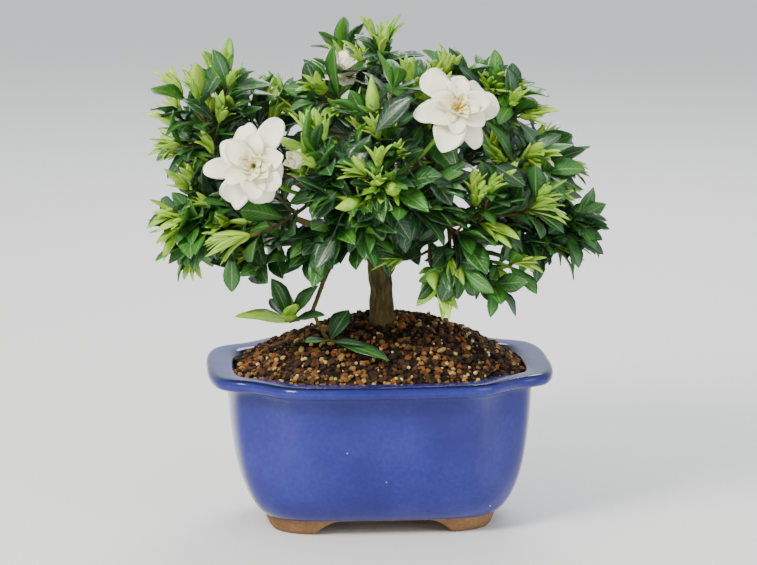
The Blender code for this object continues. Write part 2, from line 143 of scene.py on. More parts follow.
def leaf_material(name, roughness, coat):
    """Green by each leaf's tone, with a pale midrib, faint side veins and mottling."""
    leaf = Shader(name, roughness, coat)
    tone = leaf.add("Attribute", 2, {"attribute_name": "tone"})
    across, along, _ = leaf.tree.nodes.new("ShaderNodeSeparateXYZ").outputs
    uv = leaf.add("UVMap", 0, {"uv_map": "leaf"})
    leaf.tree.links.new(uv, across.node.inputs[0])
    off_rib = leaf.math("ABSOLUTE", leaf.math("SUBTRACT", across, 0.5))
    rib = leaf.spread(off_rib, 0.012, 0.05, 1.0, 0.0)
    phase = leaf.math("SUBTRACT", leaf.math("MULTIPLY", along, 60.0), leaf.math("MULTIPLY", off_rib, 26.0))
    veins = leaf.spread(leaf.math("SINE", phase), 0.75, 1.0)
    mottle = leaf.noise(260.0)
    shade = leaf.math("ADD", tone, leaf.spread(mottle, 0.3, 0.7, -0.05, 0.05))
    green = leaf.ramp(shade, LEAF_TONES)
    lighter = leaf.mix(1.0, green, (0.62, 0.72, 0.35, 1), "SCREEN")
    veined = leaf.mix(leaf.math("MULTIPLY", veins, 0.07), green, lighter)
    leaf.set("Base Color", leaf.mix(leaf.math("MULTIPLY", rib, 0.2), veined, lighter))
    leaf.set("Roughness", leaf.spread(mottle, 0.2, 0.8, roughness - 0.06, roughness + 0.1))
    relief = leaf.math("SUBTRACT", leaf.math("MULTIPLY", mottle, 0.5), leaf.math("ADD", veins, rib))
    leaf.bump(relief, 0.35, 0.0004)
    return leaf.material


def petal_material():
    """Cream white, yellower towards the heart of the flower, with fine lengthwise folds."""
    petal = Shader("petal", 0.46)
    heart = petal.add("Attribute", 2, {"attribute_name": "tone"})
    uv = petal.add("UVMap", 0, {"uv_map": "leaf"})
    split = petal.tree.nodes.new("ShaderNodeSeparateXYZ")
    petal.tree.links.new(uv, split.inputs[0])
    folds = petal.math("SINE", petal.math("MULTIPLY", split.outputs[0], 75.0))
    soft = petal.noise(140.0)
    tone = petal.math("ADD", heart, petal.spread(soft, 0.3, 0.7, -0.06, 0.06))
    petal.set("Base Color", petal.ramp(tone, [
        (0.0, (0.95, 0.91, 0.70)), (0.4, (0.93, 0.87, 0.54)), (0.75, (0.86, 0.74, 0.29)), (1.0, (0.76, 0.54, 0.07)),
    ]))
    petal.set("Subsurface Weight", 0.25)
    petal.set("Subsurface Radius", (0.004, 0.003, 0.0015))
    petal.principled.inputs["Sheen Weight"].default_value = 0.12
    petal.bump(petal.math("ADD", petal.math("MULTIPLY", folds, 0.25), soft), 0.3, 0.0005)
    return petal.material


def glaze_material():
    """Glossy periwinkle glaze: mottled, with painted shade under the rim and down the inside of its lip, a dark band
    round the outer top of the rim, and pale specks.
    """
    glaze = Shader("blue_glaze", 0.16, coat=0.18, specular=0.28)
    cloud = glaze.noise(26.0, 4.0)
    fine = glaze.noise(420.0, 2.0)
    base = glaze.ramp(glaze.math("ADD", glaze.math("MULTIPLY", cloud, 0.75), glaze.math("MULTIPLY", fine, 0.25)), [
        (0.3, (0.010, 0.012, 0.14)), (0.5, (0.016, 0.019, 0.19)), (0.72, (0.030, 0.035, 0.26)),
    ])
    # Painted shade: the pot's tone attribute darkens the glaze to near-black navy under the rim, down the inside of its
    # lip and in a band round the outer top of the rim.
    rim_shade_mask = glaze.add("Attribute", 2, {"attribute_name": "tone"})
    rim_shade_amount = glaze.math("MULTIPLY", rim_shade_mask, glaze.spread(cloud, 0.25, 0.6, 0.75, 1.0))
    dark = glaze.mix(rim_shade_amount, base, (0.006, 0.008, 0.035, 1))
    cells = glaze.add("TexVoronoi", 0, None, Vector=glaze.place(), Scale=150.0)
    chosen = glaze.spread(glaze.noise(90.0, 1.0), 0.62, 0.66)
    specks = glaze.math("MULTIPLY", glaze.spread(cells, 0.05, 0.09, 1.0, 0.0), chosen)
    glaze.set("Base Color", glaze.mix(glaze.math("MULTIPLY", specks, 0.8), dark, (0.62, 0.66, 0.85, 1)))
    glaze.set("Roughness", glaze.spread(fine, 0.2, 0.8, 0.1, 0.24))
    glaze.bump(glaze.math("ADD", cloud, glaze.math("MULTIPLY", fine, 0.1)), 0.12, 0.0012)
    return glaze.material


def clay_material():
    clay = Shader("terracotta", 0.85, specular=0.3)
    grain = clay.noise(700.0, 4.0)
    stain = clay.noise(45.0)
    clay.set("Base Color", clay.ramp(clay.math("ADD", clay.math("MULTIPLY", grain, 0.5), clay.math("MULTIPLY", stain, 0.5)), [
        (0.3, (0.13, 0.06, 0.024)), (0.55, (0.235, 0.125, 0.055)), (0.75, (0.31, 0.195, 0.10)),
    ]))
    clay.bump(grain, 0.5, 0.0005)
    return clay.material


def bark_material():
    """Olive-brown bark with lengthwise cracks, paler and yellower on young wood."""
    bark = Shader("bark", 0.85, specular=0.25)
    stretch = bark.add("Mapping", 0, None, Vector=bark.place(), Scale=(1.0, 1.0, 0.22))
    cracks = bark.noise(520.0, 5.0, stretch)
    patches = bark.noise(90.0)
    age = bark.add("Attribute", 2, {"attribute_name": "tone"})
    old = bark.ramp(bark.math("ADD", bark.math("MULTIPLY", cracks, 0.7), bark.math("MULTIPLY", patches, 0.3)), [
        (0.34, (0.014, 0.010, 0.003)), (0.5, (0.058, 0.046, 0.013)), (0.66, (0.15, 0.125, 0.04)),
    ])
    young = bark.mix(patches, (0.10, 0.055, 0.018, 1), (0.16, 0.12, 0.035, 1))
    bark.set("Base Color", bark.mix(age, old, young))
    bark.bump(cracks, 0.9, 0.0012)
    return bark.material


def soil_material():
    soil = Shader("potting_mix", 0.95, specular=0.2)
    crumbs = soil.noise(520.0, 6.0)
    soil.set("Base Color", soil.ramp(crumbs, [
        (0.35, (0.006, 0.004, 0.003)), (0.55, (0.03, 0.016, 0.008)), (0.75, (0.10, 0.055, 0.028)),
    ]))
    soil.bump(crumbs, 1.0, 0.003)
    return soil.material


def grit_material():
    """Every grain carries its own colour."""
    grit = Shader("grit", 0.85, specular=0.3)
    colour = grit.add("Attribute", 0, {"attribute_name": "grain"})
    pores = grit.noise(900.0, 4.0)
    shade = grit.spread(pores, 0.3, 0.75, 0.55, 1.25)
    grit.set("Base Color", grit.mix(1.0, colour, grit.add("CombineColor", 0, None, i0=shade, i1=shade, i2=shade), "MULTIPLY"))
    grit.bump(pores, 0.7, 0.0008)
    return grit.material


def plain_material(name, colour, roughness):
    plain = Shader(name, roughness)
    grain = plain.noise(500.0)
    darker = tuple(0.8 * c for c in colour)
    plain.set("Base Color", plain.mix(grain, (*colour, 1), (*darker, 1)))
    plain.bump(grain, 0.2, 0.0003)
    return plain.material


GROWN = leaf_material("grown_leaf", 0.36, 0.12)
YOUNG = leaf_material("young_leaf", 0.42, 0.08)
PETAL = petal_material()
GLAZE = glaze_material()
CLAY = clay_material()
BARK = bark_material()
SOIL = soil_material()
GRIT = grit_material()


# ---------------------------------------------------------------- mesh building

class Build:
    """Collects vertices with a leaf UV, a tone and a material number for each face."""

    def __init__(self):
        self.points, self.uvs, self.tones, self.faces, self.slots = [], [], [], [], []

    def put(self, points, faces, tone=0.0, uvs=None, slot=0):
        start = len(self.points)
        self.points.extend(tuple(p) for p in points)
        self.uvs.extend(uvs if uvs is not None else [(0.0, 0.0)] * len(points))
        self.tones.extend(tone if isinstance(tone, (list, np.ndarray)) else [tone] * len(points))
        self.faces.extend([start + i for i in face] for face in faces)
        self.slots.extend([slot] * len(faces))

    def make(self, name, materials):
        mesh = bpy.data.meshes.new(name)
        mesh.from_pydata(self.points, [], self.faces)
        mesh.polygons.foreach_set("material_index", self.slots)
        corners = np.empty(len(mesh.loops), dtype=np.int64)
        mesh.loops.foreach_get("vertex_index", corners)
        layer = mesh.uv_layers.new(name="leaf")
        layer.data.foreach_set("uv", np.asarray(self.uvs, dtype=np.float32)[corners].ravel())
        tone = mesh.attributes.new("tone", "FLOAT", "POINT")
        tone.data.foreach_set("value", np.asarray(self.tones, dtype=np.float32))
        for material in materials:
            mesh.materials.append(material)
        mesh.shade_smooth()
        body = bpy.data.objects.new(name, mesh)
        bpy.context.scene.collection.objects.link(body)
        return body


def hand_over(piece, slot, *nodes):
    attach(piece, BODY)
    if nodes:
        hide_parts(*nodes)


def evaluated_copy(body):
    """Applies the modifiers of an object to its mesh."""
    mesh = bpy.data.meshes.new_from_object(body.evaluated_get(bpy.context.evaluated_depsgraph_get()))
    body.modifiers.clear()
    body.data = mesh


def side_vectors(direction):
    helper = UP if abs(direction.z) < 0.9 else Vector((1, 0, 0))
    first = direction.cross(helper).normalized()
    return first, direction.cross(first).normalized()


def add_tube(build, line, radii, sides=8, tone=0.0, slot=0):
    """Closed round tube along a line of points."""
    points, faces = [], []
    first = None
    for i, spot in enumerate(line):
        direction = (line[min(i + 1, len(line) - 1)] - line[max(i - 1, 0)]).normalized()
        if first is None:
            first, second = side_vectors(direction)
        else:
            first = (first - direction * first.dot(direction)).normalized()
            second = direction.cross(first)
        for k in range(sides):
            turn = 2 * math.pi * k / sides
            points.append(spot + float(radii[i]) * (math.cos(turn) * first + math.sin(turn) * second))
    for i in range(len(line) - 1):
        for k in range(sides):
            j = (k + 1) % sides
            faces.append((i * sides + k, i * sides + j, (i + 1) * sides + j, (i + 1) * sides + k))
    faces.append(tuple(range(sides))[::-1])
    faces.append(tuple((len(line) - 1) * sides + k for k in range(sides)))
    build.put(points, faces, tone, slot=slot)


def sheet_faces(rows, columns):
    """Faces of a thin closed sheet: an upper grid, a lower one, and shared side edges."""
    upper = [[r * columns + c for c in range(columns)] for r in range(rows)]
    inner = columns - 2
    start = rows * columns
    lower = [[upper[r][0]] + [start + r * inner + c for c in range(inner)] + [upper[r][-1]] for r in range(rows)]
    faces = []
    for r in range(rows - 1):
        for c in range(columns - 1):
            faces.append((upper[r][c], upper[r][c + 1], upper[r + 1][c + 1], upper[r + 1][c]))
            faces.append((lower[r][c], lower[r + 1][c], lower[r + 1][c + 1], lower[r][c + 1]))
    for r, flip in ((0, False), (rows - 1, True)):
        rim = lower[r] + upper[r][1:-1][::-1]
        faces.append(tuple(rim[::-1] if flip else rim))
    return faces


class Sheet:
    """A family of leaves or petals with one outline."""

    def __init__(self, stations, columns, half_width):
        self.along = np.array(stations)
        self.across = np.linspace(-1, 1, columns)
        self.half_width = np.array([half_width(s) for s in stations])
        self.faces = sheet_faces(len(stations), columns)

    def add(self, build, base, direction, face, length, width, tone, bend=0.5, cup=0.2, wave=0.1,
            thickness=0.0004, curl=0.0, heart=0.0, slot=0):
        """Lays one sheet from its base; it bends away from its face and cups towards it."""
        direction = np.array(direction.normalized())
        face = np.array(face)
        face = face - direction * face.dot(direction)
        face /= np.linalg.norm(face) + 1e-9
        side = np.cross(direction, face)
        steps = np.diff(self.along, prepend=0.0)
        angle = bend * self.along + curl * self.along ** 3
        course = np.cos(angle)[:, None] * direction - np.sin(angle)[:, None] * face
        normal = np.cos(angle)[:, None] * face + np.sin(angle)[:, None] * direction
        middle = np.array(base) + np.cumsum(course * (steps * length)[:, None], axis=0)
        half = 0.5 * width * self.half_width
        u = self.across[None, :]
        phase = dice.uniform(0, 6.28)
        ripple = wave * np.sin(9.0 * self.along[:, None] + phase + 1.7 * (u > 0)) * u * u
        lift = half[:, None] * (cup * u * u + ripple)
        top = middle[:, None, :] + side * (u * half[:, None])[..., None] + normal[:, None, :] * lift[..., None]
        thick = thickness * (1 - 0.75 * u * u) * np.clip(self.half_width * 3, 0.25, 1)[:, None]
        under = top - normal[:, None, :] * thick[..., None]
        points = np.concatenate([top.reshape(-1, 3), under[:, 1:-1].reshape(-1, 3)])
        v = np.repeat(self.along, len(self.across))
        uv_top = np.stack([np.tile((self.across + 1) / 2, len(self.along)), v], axis=1)
        inner = self.across[1:-1]
        uv_low = np.stack([np.tile((inner + 1) / 2, len(self.along)), np.repeat(self.along, len(inner))], axis=1)
        uvs = np.concatenate([uv_top, uv_low])
        tones = tone + heart * (1 - uvs[:, 1]) ** 2
        tones[len(uv_top):] += 0.1 if not heart else 0.0
        build.put(points, self.faces, tones, uvs.tolist(), slot)


def leaf_half_width(s):
    """Narrow stalk, widest a little past the middle, drawn-out point."""
    x = max(s - 0.07, 0.0) / 0.93
    return 0.07 * (1 - s) + max(math.sin(math.pi * x ** 1.15), 0.0) ** 0.9 + 0.012


def young_half_width(s):
    return 0.16 * (1 - s) + max(math.sin(math.pi * s ** 0.9), 0.0) ** 0.8 + 0.012


def petal_half_width(s):
    """Narrow claw and a broad rounded blade."""
    if s < 0.6:
        return 0.2 + 0.8 * math.sin(0.5 * math.pi * s / 0.6)
    return math.sqrt(max(1 - ((s - 0.6) / 0.405) ** 2, 0.0)) + 0.02


def pointed_petal_half_width(s):
    """Like the broad petal, but drawn out to a blunt point."""
    return 0.2 * (1 - s) + max(math.sin(math.pi * s ** 1.25), 0.0) ** 0.75 * 0.95 + 0.04


LEAF = Sheet([0, 0.06, 0.14, 0.26, 0.4, 0.55, 0.7, 0.84, 0.94, 1.0], 5, leaf_half_width)
YOUNG_LEAF = Sheet([0, 0.1, 0.25, 0.42, 0.6, 0.78, 0.92, 1.0], 5, young_half_width)
PETAL_STATIONS = [0, 0.12, 0.25, 0.38, 0.5, 0.62, 0.73, 0.83, 0.91, 0.97, 1.0]
ROUND_PETAL = Sheet(PETAL_STATIONS, 9, petal_half_width)
POINTED_PETAL = Sheet(PETAL_STATIONS, 9, pointed_petal_half_width)


# ---------------------------------------------------------------- pot

RIM_QUARTER = [
    (0, -78), (34, -77), (53, -75), (63, -70.5), (71, -63), (80, -55.5),
    (90, -50.5), (97.5, -44), (101.5, -31), (103, -14), (103, 0),
]
BASE_QUARTER = [
    (0, -78), (34, -78), (53, -77.5), (66, -76.5), (78, -74), (88, -68.5),
    (96, -58), (100, -47), (102, -33), (103, -15), (103, 0),
]
FOOT_HEIGHT = 9.4
LOBE_FULL_ABOVE = 65.0
LOBE_AT_BASE = 0.15
# (inset from the rim, height, darkness: painted shade under the rim and down the inside of its lip, and a dark band
# round the outer top of the rim)
POT_PROFILE = [
    (38, 0, 0), (37, 0.4, 0), (35.5, 2.5, 0), (34.2, 6, 0), (33.2, 9.2, 0), (32.4, 9.6, 0), (30.5, 11.2, 0),
    (27, 15, 0), (23.8, 20.5, 0), (21, 27, 0), (18.4, 35, 0), (16.4, 44, 0), (14.8, 55, 0), (13.6, 66, 0),
    (12.9, 76, 0), (12.4, 84, 0.05), (11, 87.6, 0.3), (8, 89, 0.35), (4, 89.4, 0.2), (1.6, 90, 0.1), (0.4, 91.6, 0.05),
    (0, 93.4, 0.0), (0.3, 95, 0.1), (1.2, 96.3, 0.95), (2.6, 96.95, 0.9), (4.2, 97, 0.1), (8, 96.8, 0.0),
    (12, 96.6, 0.05), (14.4, 96.1, 0.5), (16, 94.9, 0.9), (17, 92.6, 0.9), (17.6, 88, 0.3), (18.5, 74, 0),
    (20.5, 50, 0), (26, 30, 0), (34, 18, 0), (40, 16, 0),
]
FRONT_ARCH = [(44, -1), (41, 1), (38.5, 3.2), (35.5, 5.6), (32, 7.6), (28, 9.1)]
END_ARCH = [(22, -1), (20, 1), (17, 4.5), (14, 7.6), (11, 9.2)]


def curve_through(points, pieces):
    """Closed Catmull-Rom curve through the points."""
    count = len(points)
    curve = []
    for i in range(count):
        p0, p1, p2, p3 = (np.array(points[(i + k - 1) % count]) for k in range(4))
        for t in (k / pieces for k in range(pieces)):
            curve.append(0.5 * (2 * p1 + (p2 - p0) * t + (2 * p0 - 5 * p1 + 4 * p2 - p3) * t * t
                                + (3 * p1 - p0 - 3 * p2 + p3) * t ** 3))
    return curve


def pot_ring(inset, height, pieces=4):
    rise = min(max((height - FOOT_HEIGHT) / LOBE_FULL_ABOVE, 0.0), 1.0)
    lobe = LOBE_AT_BASE + (1 - LOBE_AT_BASE) * rise * rise * (3 - 2 * rise)
    quarter = [(bx + (x - bx) * lobe, by + (y - by) * lobe) for (x, y), (bx, by) in zip(RIM_QUARTER, BASE_QUARTER)]
    right = quarter + [(x, -y) for x, y in reversed(quarter[:-1])]
    outline = right + [(-x, y) for x, y in reversed(right[1:-1])]
    half_x, half_y = POT_HIGH.x / MM, POT_HIGH.y / MM
    ring = []
    for x, y in curve_through(outline, pieces):
        ring.append(Vector((x * (half_x - inset) / half_x, y * (half_y - inset) / half_y, height)) * MM)
    return ring


def prism(section_rings):
    count = len(section_rings[0])
    faces = [tuple(range(count))[::-1], tuple(range(count, 2 * count))]
    faces += [(i, (i + 1) % count, count + (i + 1) % count, count + i) for i in range(count)]
    return [p for ring in section_rings for p in ring], faces


def arch_guide(half_arch, along_y):
    section = half_arch + [(-w, z) for w, z in reversed(half_arch)]
    reach = POT_HIGH.x if not along_y else POT_HIGH.y
    if along_y:
        rings = [[Vector((w * MM, y, z * MM)) for w, z in reversed(section)] for y in (-reach, reach)]
    else:
        rings = [[Vector((x, w * MM, z * MM)) for w, z in reversed(section)] for x in (reach, -reach)]
    return prism(rings)


def cut(body, solid):
    points, faces = solid
    mesh = bpy.data.meshes.new("guide")
    mesh.from_pydata([tuple(p) for p in points], [], faces)
    guide = bpy.data.objects.new("guide", mesh)
    bpy.context.scene.collection.objects.link(guide)
    modifier = body.modifiers.new("cut", "BOOLEAN")
    modifier.operation = "DIFFERENCE"
    modifier.object = guide
    return guide


def make_pot():
    build = Build()
    rings = [pot_ring(inset, z) for inset, z, _ in POT_PROFILE]
    count = len(rings[0])
    # The darkness column becomes the tone attribute: painted shade under the rim and inside its lip, and a dark band
    # round the outer top of the rim.
    tones = [dark for _, _, dark in POT_PROFILE for _ in range(count)]
    faces = [tuple(range(count))[::-1]]
    for level in range(len(rings) - 1):
        low, high = level * count, (level + 1) * count
        faces += [(low + i, low + (i + 1) % count, high + (i + 1) % count, high + i) for i in range(count)]
    faces.append(tuple((len(rings) - 1) * count + i for i in range(count)))
    build.put([p for ring in rings for p in ring], faces, tones)
    pot = build.make("glazed_pot", [GLAZE, CLAY])
    guides = [cut(pot, arch_guide(FRONT_ARCH, True)), cut(pot, arch_guide(END_ARCH, False))]
    guides.append(cut(pot, prism([pot_ring(52, -1), pot_ring(52, 9)])))
    for x in (-42, 42):
        circle = [Vector((x + 6 * math.cos(a), 6 * math.sin(a), 0)) * MM for a in np.linspace(0, 2 * math.pi, 33)[:-1]]
        guides.append(cut(pot, prism([[p + UP * h * MM for p in circle] for h in (5, 17)])))
    evaluated_copy(pot)
    for guide in guides:
        bpy.data.objects.remove(guide, do_unlink=True)
    for face in pot.data.polygons:
        face.material_index = 1 if face.center.z < (FOOT_HEIGHT + 0.05) * MM else 0
        face.use_smooth = True
    pot.data.set_sharp_from_angle(angle=math.radians(50))
    hand_over(pot, "blue_glaze", "pot")


# ---------------------------------------------------------------- soil

def node_tree_of(name):
    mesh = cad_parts[name].data
    return BVHTree.FromPolygons([v.co.copy() for v in mesh.vertices], [list(f.vertices) for f in mesh.polygons])


soil_tree = node_tree_of("soil")
trunk_tree = node_tree_of("trunk")
TRUNK_FOOT = Vector((2.0, 0.0, 116.0)) * MM
GRIT_WARMTH = np.array((0.85, 0.76, 0.5))
GRAINS = 2700
BARK_CHIPS = 240
PERLITE = 150
GRAIN_COLOURS = [
    (0.25, 0.13, 0.05), (0.15, 0.065, 0.025), (0.36, 0.22, 0.09), (0.30, 0.095, 0.03), (0.06, 0.03, 0.014),
    (0.028, 0.015, 0.009), (0.52, 0.36, 0.16), (0.085, 0.04, 0.018), (0.22, 0.11, 0.045), (0.014, 0.009, 0.006),
]


def soil_point(x, y):
    spot, normal, _, _ = soil_tree.ray_cast(Vector((x, y, 0.2)), -UP)
    if spot is None or spot.z < 0.085:
        return None, None
    return spot, normal


def make_soil_surface():
    """The mound, remeshed fine and roughened into crumbs."""
    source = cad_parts["soil"]
    soil = bpy.data.objects.new("soil_mound", source.data.copy())
    soil.matrix_world = source.matrix_world.copy()
    bpy.context.scene.collection.objects.link(soil)
    remesh = soil.modifiers.new("remesh", "REMESH")
    remesh.mode = "VOXEL"
    remesh.voxel_size = 0.0016
    evaluated_copy(soil)
    for vertex in soil.data.vertices:
        if vertex.co.z > 0.091:
            rough = noise.fractal(vertex.co * 260, 0.7, 2.0, 3)
            vertex.co.z += 0.0011 * rough - 0.0003
    soil.data.materials.clear()
    soil.data.materials.append(SOIL)
    soil.data.shade_smooth()
    hand_over(soil, "potting_mix", "soil")


def stone_templates():
    """A few irregular grain shapes on a unit sphere."""
    shapes = []
    for number in range(8):
        ball = bmesh.new()
        bmesh.ops.create_icosphere(ball, subdivisions=2 if number == 0 else 1, radius=1.0)
        points = []
        for vertex in ball.verts:
            bumpy = 1 + 0.34 * noise.noise(vertex.co * 1.5 + Vector((7.3 * number, 0, 0)))
            points.append(np.array(vertex.co) * bumpy)
        shapes.append((np.array(points), [tuple(v.index for v in f.verts) for f in ball.faces]))
        ball.free()
    return shapes


def scatter(name, count, size, squash, colours, seat, smooth):
    """Grains lying on the mound, each with its own shape, turn, size and colour."""
    shapes = stone_templates()
    points, faces, tints = [], [], []
    placed = tries = 0
    while placed < count and tries < count * 6:
        tries += 1
        x = dice.uniform(-0.087, 0.087)
        y = dice.uniform(-0.062, 0.062)
        spot, normal = soil_point(x, y)
        if spot is None or (Vector((x, y, 0)) - TRUNK_FOOT * 1.0).xy.length < 0.0085:
            continue
        radius = dice.uniform(*size) * (0.75 if dice.random() < 0.4 else 1.0)
        shape, shape_faces = shapes[dice.randrange(1, len(shapes))]
        scale = np.array([radius * dice.uniform(*s) for s in squash])
        turn = Matrix.Rotation(dice.uniform(0, 6.28), 3, "Z")
        tilt = UP.rotation_difference((normal + 0.5 * Vector((dice.uniform(-1, 1), dice.uniform(-1, 1), 0))).normalized())
        rotation = np.array(tilt.to_matrix() @ turn)
        centre = np.array(spot + normal * radius * seat * dice.uniform(0.3, 1.3))
        start = len(points)
        points.extend((shape * scale) @ rotation.T + centre)
        faces.extend([tuple(start + i for i in face) for face in shape_faces])
        tint = np.array(colours(x, y)) * GRIT_WARMTH * dice.uniform(0.75, 1.25)
        tints.extend([(*tint, 1.0)] * len(shape))
        placed += 1
    mesh = bpy.data.meshes.new(name)
    mesh.from_pydata([tuple(p) for p in points], [], faces)
    grain = mesh.color_attributes.new("grain", "FLOAT_COLOR", "POINT")
    grain.data.foreach_set("color", np.asarray(tints, dtype=np.float32).ravel())
    mesh.materials.append(GRIT)
    if smooth:
        mesh.shade_smooth()
    body = bpy.data.objects.new(name, mesh)
    bpy.context.scene.collection.objects.link(body)
    hand_over(body, "potting_mix")


def grain_colour(x, y):
    """Tan grit and dark peat: tan grains gather towards the key light at the front left and dark ones to the right and
    at the back, as painted light and shade.
    """
    patch = 0.9 * noise.noise(Vector((x, y, 0)) * 45)
    # Painted light and shade: the share of tan grains rises towards the key light at the front left and falls to the
    # right and back.
    pale = 0.42 - 3.0 * x - 5.0 * (y + 0.02) + patch
    if dice.random() < min(max(pale, 0.1), 0.8):
        return dice.choice(GRAIN_COLOURS[:4] + GRAIN_COLOURS[6:7] + GRAIN_COLOURS[8:9])
    return dice.choice(GRAIN_COLOURS[4:6] + GRAIN_COLOURS[7:8] + GRAIN_COLOURS[9:])


def make_soil():
    make_soil_surface()
    scatter("clay_grit", GRAINS, (0.0008, 0.0024), ((0.8, 1.4), (0.6, 1.1), (0.5, 0.95)), grain_colour, 0.45, False)
    scatter("bark_chips", BARK_CHIPS, (0.0018, 0.004), ((1.1, 1.8), (0.4, 0.7), (0.25, 0.45)),
            lambda x, y: dice.choice([(0.30, 0.11, 0.035), (0.12, 0.055, 0.025), (0.04, 0.022, 0.012)]), 0.35, False)
    scatter("perlite", PERLITE, (0.0008, 0.0015), ((0.9, 1.1), (0.9, 1.1), (0.85, 1.05)),
            lambda x, y: dice.choice([(0.80, 0.68, 0.38), (0.85, 0.80, 0.62), (0.72, 0.55, 0.25)]), 0.9, True)


# ---------------------------------------------------------------- wood

def make_trunk():
    """The CAD wood, remeshed fine, smoothed and given bark relief."""
    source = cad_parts["trunk"]
    trunk = bpy.data.objects.new("trunk_bark", source.data.copy())
    trunk.matrix_world = source.matrix_world.copy()
    bpy.context.scene.collection.objects.link(trunk)
    remesh = trunk.modifiers.new("remesh", "REMESH")
    remesh.mode = "VOXEL"
    remesh.voxel_size = 0.0007
    ease = trunk.modifiers.new("smooth", "SMOOTH")
    ease.factor = 0.5
    ease.iterations = 5
    evaluated_copy(trunk)
    mesh = trunk.data
    normals = [vertex.normal.copy() for vertex in mesh.vertices]
    tone = mesh.attributes.new("tone", "FLOAT", "POINT")
    for vertex, normal in zip(mesh.vertices, normals):
        spot = vertex.co.copy()
        from_stem = (spot - Vector((TRUNK_FOOT.x, 0, spot.z))).length
        stem = 1.0 if from_stem < 0.011 and spot.z < 0.165 else 0.35
        lumps = noise.noise(spot * 120)
        ridges = noise.noise(Vector((spot.x * 900, spot.y * 900, spot.z * 160)))
        vertex.co = spot + normal * stem * (0.0007 * lumps + 0.00045 * ridges)
        low = max(0.0, 1 - abs(spot.z - 0.117) / 0.012)
        tone.data[vertex.index].value = 0.75 * low + 0.2 if stem == 1.0 else min(0.5 + 12 * from_stem, 1.0) * 0.6
    mesh.materials.clear()
    mesh.materials.append(BARK)
    mesh.shade_smooth()
    hand_over(trunk, "bark", "trunk")


# ---------------------------------------------------------------- leaves

# Flowers: CAD node, place of the whorl within the node's box, facing, and outer petals
# as (angle seen from the front, length, width) in degrees and millimetres
LEFT_PETALS = [(64, 32, 14), (106, 25, 15), (147, 22, 15), (186, 28, 12), (236, 26, 17), (288, 22, 16), (345, 16, 14)]
RIGHT_PETALS = [(128, 27, 18), (84, 21, 16), (42, 22, 14), (3, 24, 17), (298, 25, 12), (246, 27, 18), (184, 24, 14)]
OPEN_FLOWERS = [
    ("flower_left", Vector((-0.077, -0.088, 0.229)), Vector((-0.15, -0.95, 0.22)), LEFT_PETALS, False),
    ("flower_right", Vector((0.038, -0.080, 0.258)), Vector((0.08, -0.88, 0.42)), RIGHT_PETALS, True),
]
FLOWER_CLEAR_RADIUS = 0.0245
FLOWER_CLEAR_DEPTH = 0.055
# Leaves of the two low pieces, from the foot of each: (tip, width, tone) in millimetres
LOW_SPRAY = [
    ((-37, -8, 5), 9.5, 0.86), ((-14, -4, 25), 10, 0.42), ((8, -8, 22), 10, 0.5), ((13, -14, 6), 8, 0.38),
    ((-9, -26, 9), 8, 0.78), ((-16, 20, 10), 7.5, 0.35), ((-4, -16, 14), 7, 0.9), ((-8, 2, 18), 6, 0.92),
]
LOW_SPROUT = [((12, 2, 17), 10, 0.32), ((33, -26, -6.5), 8.5, 0.4), ((-13, -14, 2), 6, 0.55), ((20, -14, -1), 5.5, 0.3)]


def in_the_way(spot):
    """True where a leaf would hide an open flower, the bare trunk or the drooping branch."""
    if abs(spot.x - TRUNK_FOOT.x) < 0.016 and spot.y < 0.005 and spot.z < 0.166:
        return True
    if -0.098 < spot.x < -0.018 and spot.y < 0.012 and spot.z < 0.160:
        return True
    for _, centre, facing, _, _ in OPEN_FLOWERS:
        axis = facing.normalized()
        ahead = (spot - centre).dot(axis)
        if -0.012 < ahead < FLOWER_CLEAR_DEPTH and ((spot - centre) - axis * ahead).length < FLOWER_CLEAR_RADIUS:
            return True
    return False


def fits(spot):
    room = 0.006
    inside = all(BOX_LOW[k] - room < spot[k] < BOX_HIGH[k] + room for k in range(3))
    return inside and not in_the_way(spot)


def add_leaf(build, base, direction, axis, length, width, tone, young, slot):
    """One leaf if there is room for it; its upper face is turned to the shoot and the sky."""
    tip = base + direction * length
    if not (fits(tip) and fits(base.lerp(tip, 0.6))):
        return
    face = axis * 0.8 + UP * 0.7 + Vector((dice.uniform(-0.3, 0.3), dice.uniform(-0.3, 0.3), 0))
    sheet = YOUNG_LEAF if young else LEAF
    bend = dice.uniform(-0.15, 0.35) if young else dice.uniform(0.1, 0.75)
    sheet.add(build, base, direction, face, length, width, tone, bend=bend, cup=dice.uniform(0.25, 0.6) if young
              else dice.uniform(0.1, 0.45), wave=0.05 if young else 0.12, curl=dice.uniform(-0.1, 0.35), slot=slot)


def spread_direction(axis, turn, tilt):
    first, second = side_vectors(axis)
    outward = math.cos(turn) * first + math.sin(turn) * second
    return (math.cos(tilt) * axis + math.sin(tilt) * outward).normalized()


def add_bud(build, base, axis, length, radius, tone):
    """Ribbed spindle bud."""
    shares = (0.0, 0.12, 0.3, 0.5, 0.7, 0.86, 1.0)
    full = (0.35, 0.7, 1.0, 0.92, 0.62, 0.34, 0.08)
    line = [base + axis * (length * s) for s in shares]
    add_tube(build, line, [radius * f for f in full], 8, tone)


